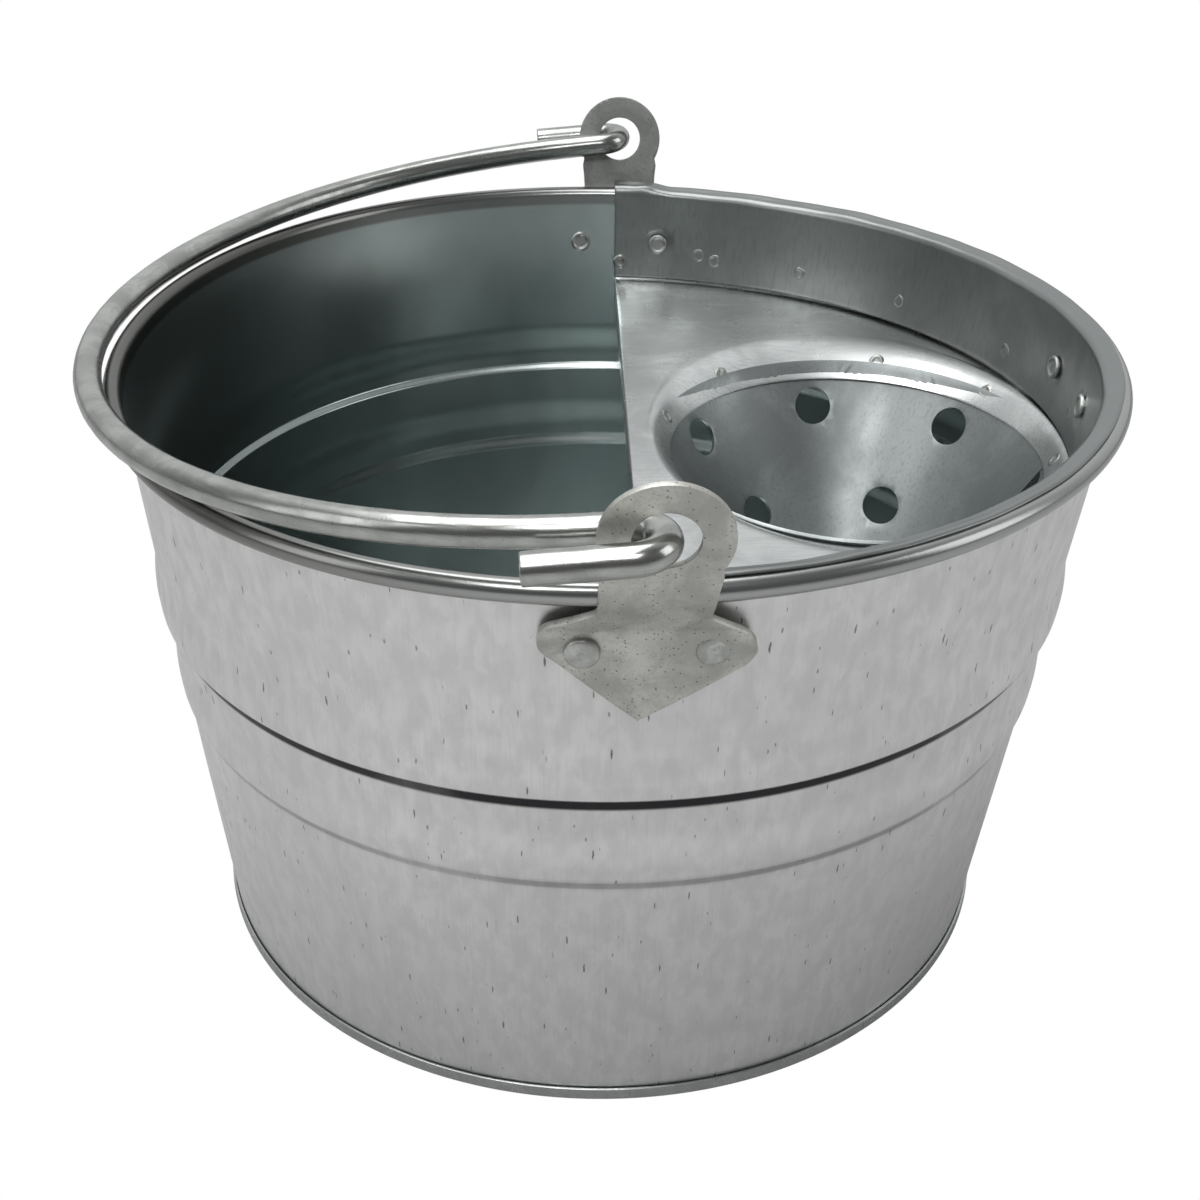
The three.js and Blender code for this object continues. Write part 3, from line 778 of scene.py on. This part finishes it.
def wringer_plate():
    wall_radius = wall_line(PLATE_TOP) - SHEET - GAP - 0.5
    fold_bottom = PLATE_TOP - 7
    level = PLATE_TOP - 0.15
    flange_path = [(THROAT, THROAT_HEIGHT), (THROAT + 0.25, THROAT_HEIGHT + 0.5), (57.6, 143.4)]
    flange_path += [(59.0, 145.4)]
    flange_path += [(59.9, 146.5), (60.6, 147.2), (61.3, 147.65), (62.0, 147.92), (62.6, PLATE_TOP)]
    corner_y = math.sqrt(wall_radius ** 2 - EDGE_X ** 2)
    outer_ring = flange_path[-1][0]
    ovals = [2 * math.pi * i / 240 for i in range(240)]

    def reach(angle):
        px, py = mouth_point(outer_ring, angle)
        dx, dy = px - MOUTH_X, py
        b, c = MOUTH_X * dx, MOUTH_X ** 2 - wall_radius ** 2
        a = dx * dx + dy * dy
        to_wall = (-b + math.sqrt(b * b - a * c)) / a
        to_edge = (EDGE_X - MOUTH_X) / dx if dx < -1e-9 else 1e9
        return dx, dy, to_wall, to_edge

    def corner_angle(sign):
        low, high = math.pi / 2, math.pi
        for _ in range(40):
            middle = (low + high) / 2
            _, _, to_wall, to_edge = reach(middle)
            if to_edge < to_wall:
                high = middle
            else:
                low = middle
        return low if sign > 0 else 2 * math.pi - low

    first, second = corner_angle(1), corner_angle(-1)
    wall_angles = sorted([a - 2 * math.pi if a > math.pi else a for a in ovals if a < first or a > second])
    wall_angles = [second - 2 * math.pi] + wall_angles + [first]
    edge_angles = [first] + [a for a in ovals if first < a < second] + [second]

    def column(angle, at_wall):
        points = []
        for radius, height in flange_path:
            x, y = mouth_point(radius, angle)
            points.append((x, y, height))
        dx, dy, to_wall, to_edge = reach(angle)
        t = to_wall if at_wall else to_edge
        end_x, end_y = MOUTH_X + dx * t, dy * t
        near_corner = math.exp(-(max(0.0, corner_y - abs(end_y)) / 22) ** 2)
        fillet = mix(1.4, 3.4, near_corner) if at_wall else 1.3
        length = math.hypot(end_x - points[-1][0], end_y - points[-1][1])
        ux, uy = (end_x - points[-1][0]) / max(length, 1e-6), (end_y - points[-1][1]) / max(length, 1e-6)
        flat = max(0.0, length - fillet)
        start = points[-1]
        for i in range(1, 15):
            share = i / 14
            x, y = start[0] + ux * flat * share, start[1] + uy * flat * share
            wave = wander(23, x, y, 0, 38) + 0.5 * wander(29, x, y, 0, 16)
            points.append((x, y, level + 0.32 * wave * smooth(share * (1 - share) * 4)))
        up = 1 if at_wall else -1
        for i in range(1, 7):
            turn = math.pi / 2 * i / 6
            ahead = flat + fillet * math.sin(turn)
            height = level + up * fillet * (1 - math.cos(turn))
            points.append((start[0] + ux * ahead, start[1] + uy * ahead, height))
        last = points[-1]
        top = plate_high.z if at_wall else fold_bottom
        for share in (0.5, 1.0):
            z = mix(last[2], top, share)
            grow = (wall_line(z) - wall_line(PLATE_TOP)) / wall_radius if at_wall else 0.0
            points.append((last[0] * (1 + grow), last[1] * (1 + grow), z))
        return points

    bm = bmesh.new()
    for angles, at_wall in ((wall_angles, True), (edge_angles, False)):
        made = [[bm.verts.new(p) for p in column(a, at_wall)] for a in angles]
        for a, b in zip(made, made[1:]):
            for j in range(len(a) - 1):
                bm.faces.new((a[j], b[j], b[j + 1], a[j + 1]))
    bmesh.ops.remove_doubles(bm, verts=bm.verts, dist=1e-4)
    piece = make_object("shelf_plate", bm, plate_material, 50)
    flat_face = max(piece.data.polygons, key=lambda p: p.area)
    return thicken(piece, WRINGER_SHEET, -1.0 if flat_face.normal.z > 0 else 1.0, 0.12, 45)


def cone_radius(z):
    top = THROAT + WRINGER_SHEET + GAP
    return mix(CONE_BOTTOM_RADIUS, top, (z - CONE_BOTTOM) / (THROAT_HEIGHT - CONE_BOTTOM))


HOLE = 6.2
HOLE_ROWS = ((133.0, 7, 44.0), (106.5, 5, 62.0))
CONE_SEAM = -6.0


def wringer_cone():
    top = cone_high.z
    overlap = 9.0
    start, end = CONE_SEAM, CONE_SEAM + 360 + overlap
    tip = math.atan2(cone_radius(THROAT_HEIGHT) - CONE_BOTTOM_RADIUS, THROAT_HEIGHT - CONE_BOTTOM)
    outline = [(start, z) for z in steps(top, CONE_BOTTOM, 3)][:-1]
    outline += [(a, CONE_BOTTOM) for a in steps(start, end, 3)][:-1]
    outline += [(end, z) for z in steps(CONE_BOTTOM, top, 3)][:-1]
    outline += [(a, top) for a in steps(end, start, 3)][:-1]
    holes = []
    for height, count, first in HOLE_ROWS:
        for i in range(count):
            middle = first + i * 360 / count
            if middle < start + 8:
                middle += 360
            loop = []
            for k in range(40):
                turn = 2 * math.pi * k / 40
                z = height + HOLE * math.sin(turn) * math.cos(tip)
                swing = HOLE * math.cos(turn) / (cone_radius(z) * 1.03)
                loop.append((middle + math.degrees(swing), z))
            holes.append(loop)
    bm = flat_sheet(outline, holes, steps(start + 3, end - 3, 3), steps(CONE_BOTTOM + 3, top - 2, 3))
    for vert in bm.verts:
        degrees, z = vert.co.x, vert.co.y
        angle = math.radians(degrees)
        r = cone_radius(min(z, THROAT_HEIGHT))
        r += 3.4 * smooth((z - THROAT_HEIGHT) / (top - THROAT_HEIGHT))
        r += (WRINGER_SHEET + 0.1) * (1 - smooth((end - degrees) / 14.0)) if degrees > 180 else 0.0
        r += 0.25 * wander(41, r * math.cos(angle), r * math.sin(angle), z, 30)
        vert.co = (MOUTH_X + r * math.cos(angle), r * THROAT_STRETCH * math.sin(angle), z)
    piece = make_object("perforated_cone", bm, cone_material, 60)
    probe = piece.data.polygons[0]
    inward = (probe.center.x / MM - MOUTH_X) * probe.normal.x + probe.center.y / MM * probe.normal.y < 0
    return thicken(piece, WRINGER_SHEET, -1.0 if inward else 1.0, 0.15, 40)


def cone_cup():
    inside = cone_radius(CONE_BOTTOM)
    rim = cup_high.z
    drain = 5.0
    low = cup_low.z
    profile = [(drain, low), (inside - 3, low), (inside - 1.9, low + 0.35), (inside - 1.4, low + 1.2)]
    profile += [(cone_radius(rim) - 1.4, rim), (cone_radius(rim) - 2.2, rim)]
    profile += [(inside - 2.4, low + 1.6), (inside - 3.4, low + 1.0), (drain, low + 1.0)]
    rows = []
    for i in range(96):
        angle = 2 * math.pi * i / 96
        c, s = math.cos(angle), math.sin(angle)
        rows.append([(MOUTH_X + r * c, r * THROAT_STRETCH * s, z) for r, z in profile])
    bm, _ = grid_mesh(rows, close_rows=True, close_columns=True)
    return make_object("cone_end_cup", bm, cone_material, 40)


# Angle from +X in degrees, and height.
COLLAR_WELDS = ((86, 154.5), (74, 158.5), (71.5, 157.0), (58, 157.0), (41, 156.5), (19, 156.5),
                (-2, 156.5), (-22, 157), (-42, 156.5), (-62, 157), (-84, 155))
MOUTH_WELDS = (163, 128, 73, 35, -10, -50, -95, -140)


def weld_marks():
    """Small spot welds: a raised ring round a pit, pressed into the collar and the mouth's flange."""
    places = []
    for degrees, height in COLLAR_WELDS:
        angle = math.radians(degrees)
        r = collar_face(height)
        position = Vector((r * math.cos(angle), r * math.sin(angle), height))
        places.append((position, Vector((-math.cos(angle), -math.sin(angle), 0.1))))
    for degrees in MOUTH_WELDS:
        angle = math.radians(degrees)
        x, y = mouth_point(58.6, angle)
        outward = Vector((math.cos(angle), math.sin(angle), 0))
        places.append((Vector((x, y, 144.9)), Vector((0, 0, 1)) * 0.65 - outward * 0.75))
    bm = bmesh.new()
    ring_profile = [(0, 0.02), (0.7, -0.05), (1.25, 0.06), (1.6, 0.24)]
    ring_profile += [(1.95, 0.2), (2.3, 0.04), (2.6, -0.15)]
    sides = 18
    for index, (position, normal) in enumerate(places):
        spin = normal.normalized().to_track_quat("Z", "Y").to_matrix().to_4x4()
        rings = []
        for radius, height in ring_profile:
            count = 1 if radius == 0 else sides
            ring = []
            for k in range(count):
                turn = 2 * math.pi * k / sides
                uneven = 1 + 0.16 * wander(51 + index, 2 * math.cos(turn), 2 * math.sin(turn), 0, 1.6)
                out = radius * uneven
                local = Vector((out * math.cos(turn), out * math.sin(turn), height * uneven))
                ring.append(bm.verts.new(position + spin @ local))
            rings.append(ring)
        for low, high in zip(rings, rings[1:]):
            for k in range(sides):
                j = (k + 1) % sides
                if len(low) == 1:
                    bm.faces.new((low[0], high[k], high[j]))
                else:
                    bm.faces.new((low[k], high[k], high[j], low[j]))
    return make_object("spot_weld_marks", bm, weld_material, 80)


# ---------------------------------------------------------------- bail

def bail_outline():
    """Middle of the wire: distance back from the hinge axis, and place along it."""
    hook_y = INNER_LEG + HOOK
    half = [(x, hook_y + HOOK) for x in steps(FREE_END, HOOK, 2.0)][:-1]
    for i in range(25):
        angle = math.pi * i / 24
        half.append((HOOK * (1 - math.sin(angle)), hook_y + HOOK * math.cos(angle)))
    points = [(x, -y) for x, y in half]
    for i in range(1, 180):
        angle = math.pi * i / 180
        points.append((HOOK + (BAIL_REACH - HOOK) * math.sin(angle), -INNER_LEG * math.cos(angle)))
    return points + half[::-1]


def bail():
    path = []
    c, s = math.cos(BAIL_DROP), math.sin(BAIL_DROP)
    for back, along in bail_outline():
        path.append(Vector((hinge.x - back * c, along, hinge.z - back * s)))
    up = Vector((-math.sin(BAIL_DROP), 0, math.cos(BAIL_DROP)))
    sides = 28
    rows = []
    last = len(path) - 1
    for i, middle in enumerate(path):
        ahead = (path[min(i + 1, last)] - path[max(i - 1, 0)]).normalized()
        across = ahead.cross(up).normalized()
        ring_up = across.cross(ahead).normalized()
        rings = [(middle, 1.0)]
        if i in (0, last):
            way = -ahead if i == 0 else ahead
            end = middle + way * 0.25
            rings = [(end, 0.62), (end, 0.93), (middle + way * 0.08, 0.99), (middle - way * 0.3, 1.0)]
            if i == last:
                rings.reverse()
        for centre, size in rings:
            row = []
            for k in range(sides):
                turn = 2 * math.pi * k / sides
                dent = 0.05 * wander(61, centre.x, centre.y + 9 * math.cos(turn), centre.z, 5)
                radius = WIRE * size + dent * (size >= 1.0)
                row.append(centre + across * radius * math.cos(turn) + ring_up * radius * math.sin(turn))
            rows.append(row)
    bm, made = grid_mesh(rows, close_columns=True)
    bm.faces.new(made[0])
    bm.faces.new(made[-1][::-1])
    return make_object("wire_bail", bm, wire_material, 50)


# ---------------------------------------------------------------- build

finish_piece(bucket_wall(), "bucket", "galvanised_wall", "bucket_wall")
finish_piece(bucket_base(), "bucket", "galvanised_wall", "bucket_base")
finish_piece(lug(-1), "bucket", "lug_steel", "lug_front")
finish_piece(lug(1), "bucket", "lug_steel", "lug_back")
finish_piece(wringer_collar(), "bucket", "wringer_steel", "wringer_collar")
finish_piece(wringer_plate(), "bucket", "wringer_steel", "wringer_plate")
finish_piece(wringer_cone(), "bucket", "cone_steel", "wringer_cone")
finish_piece(cone_cup(), "bucket", "cone_steel", "wringer_cone_cup")
finish_piece(weld_marks(), "bucket", "wringer_steel")
finish_piece(bail(), "bail", "zinc_wire", "bail_handle")
rivets()

rim_wire = frame["nodes"]["rim_wire"]
rim_wire.data.materials.clear()
rim_wire.data.materials.append(rim_wire_material)


# ---------------------------------------------------------------- stage, light and camera

def floor():
    """A pale floor, clean white where the camera sees it directly."""
    bm = bmesh.new()
    bmesh.ops.create_grid(bm, x_segments=8, y_segments=8, size=6000)
    n = Nodes("pale_floor")
    n.put(n.shader.inputs["Base Color"], (0.6, 0.6, 0.6, 1))
    n.put(n.shader.inputs["Roughness"], 0.9)
    n.put(n.shader.inputs["Specular IOR Level"], 0.0)
    seen = n.add("ShaderNodeLightPath").outputs["Is Camera Ray"]
    glow = n.add("ShaderNodeEmission")
    blend = n.add("ShaderNodeMixShader")
    n.put(blend.inputs[0], seen)
    n.tree.links.new(n.shader.outputs[0], blend.inputs[1])
    n.tree.links.new(glow.outputs[0], blend.inputs[2])
    n.tree.links.new(blend.outputs[0], n.tree.nodes["Material Output"].inputs["Surface"])
    make_object("floor", bm, n.material)


def area_light(name, place, target, size, power):
    light = bpy.data.lights.new(name, "AREA")
    light.shape = "RECTANGLE"
    light.size, light.size_y = size
    light.energy = power
    piece = bpy.data.objects.new(name, light)
    piece.visible_camera = False
    piece.location = place
    piece.rotation_euler = (Vector(target) - Vector(place)).to_track_quat("-Z", "Y").to_euler()
    bpy.context.scene.collection.objects.link(piece)


def world():
    made = bpy.data.worlds.new("studio")
    bpy.context.scene.world = made
    made.use_nodes = True
    tree = made.node_tree
    tree.nodes.clear()
    direction = tree.nodes.new("ShaderNodeTexCoord").outputs["Generated"]
    split = tree.nodes.new("ShaderNodeSeparateXYZ")
    tree.links.new(direction, split.inputs[0])

    def mapped(value, low, high, to_low, to_high):
        node = tree.nodes.new("ShaderNodeMapRange")
        node.interpolation_type = "SMOOTHSTEP"
        tree.links.new(value, node.inputs["Value"])
        for name, number in (("From Min", low), ("From Max", high), ("To Min", to_low), ("To Max", to_high)):
            node.inputs[name].default_value = number
        return node.outputs["Result"]

    def product(a, b):
        node = tree.nodes.new("ShaderNodeMath")
        node.operation = "MULTIPLY"
        tree.links.new(a, node.inputs[0])
        tree.links.new(b, node.inputs[1])
        return node.outputs[0]

    back_to_front = mapped(split.outputs["Y"], -0.2, 0.75, 0.16, 0.9)
    height = mapped(split.outputs["Z"], 0.0, 0.8, 0.8, 1.0)
    seen = tree.nodes.new("ShaderNodeLightPath").outputs["Is Camera Ray"]
    plain = tree.nodes.new("ShaderNodeBackground")
    blend = tree.nodes.new("ShaderNodeMixShader")
    tree.links.new(seen, blend.inputs[0])
    plain.inputs["Color"].default_value = (1, 1, 1, 1)
    background = tree.nodes.new("ShaderNodeBackground")
    background.inputs["Color"].default_value = (0.96, 0.975, 0.98, 1)
    tree.links.new(product(back_to_front, height), background.inputs["Strength"])
    output = tree.nodes.new("ShaderNodeOutputWorld")
    tree.links.new(background.outputs[0], blend.inputs[1])
    tree.links.new(plain.outputs[0], blend.inputs[2])
    tree.links.new(blend.outputs[0], output.inputs[0])


def camera():
    """Stands close in front of the front lug and looks down at the bucket by about 30 degrees."""
    azimuth, elevation, roll = math.radians(-1.5), math.radians(30.2), math.radians(0.59)
    distance, aim_height = 0.536, 0.0899
    level = math.cos(elevation)
    back = Vector((math.sin(azimuth) * level, -math.cos(azimuth) * level, math.sin(elevation)))
    data = bpy.data.cameras.new("camera")
    data.sensor_width = 36.0
    data.lens = 50.43
    data.clip_start = 0.01
    piece = bpy.data.objects.new("camera", data)
    piece.location = Vector((0, 0, aim_height)) + back * distance
    look = (-back).to_track_quat("-Z", "Y").to_matrix() @ Matrix.Rotation(roll, 3, "Z")
    piece.rotation_euler = look.to_euler()
    bpy.context.scene.collection.objects.link(piece)
    bpy.context.scene.camera = piece


floor()
area_light("top_softbox", (-0.3, 0.1, 1.6), (0, 0, 0.1), (1.4, 1.0), 14)
area_light("left_softbox", (-1.4, -0.7, 0.9), (0, 0, 0.1), (0.8, 1.2), 4)
area_light("right_softbox", (1.5, -0.3, 0.8), (0, 0, 0.1), (0.7, 1.1), 4)
area_light("front_pool", (-0.06, -0.46, 0.62), (-0.04, -0.36, 0.0), (0.3, 0.2), 1.15)
world()
camera()
bpy.context.scene.view_settings.view_transform = "Standard"
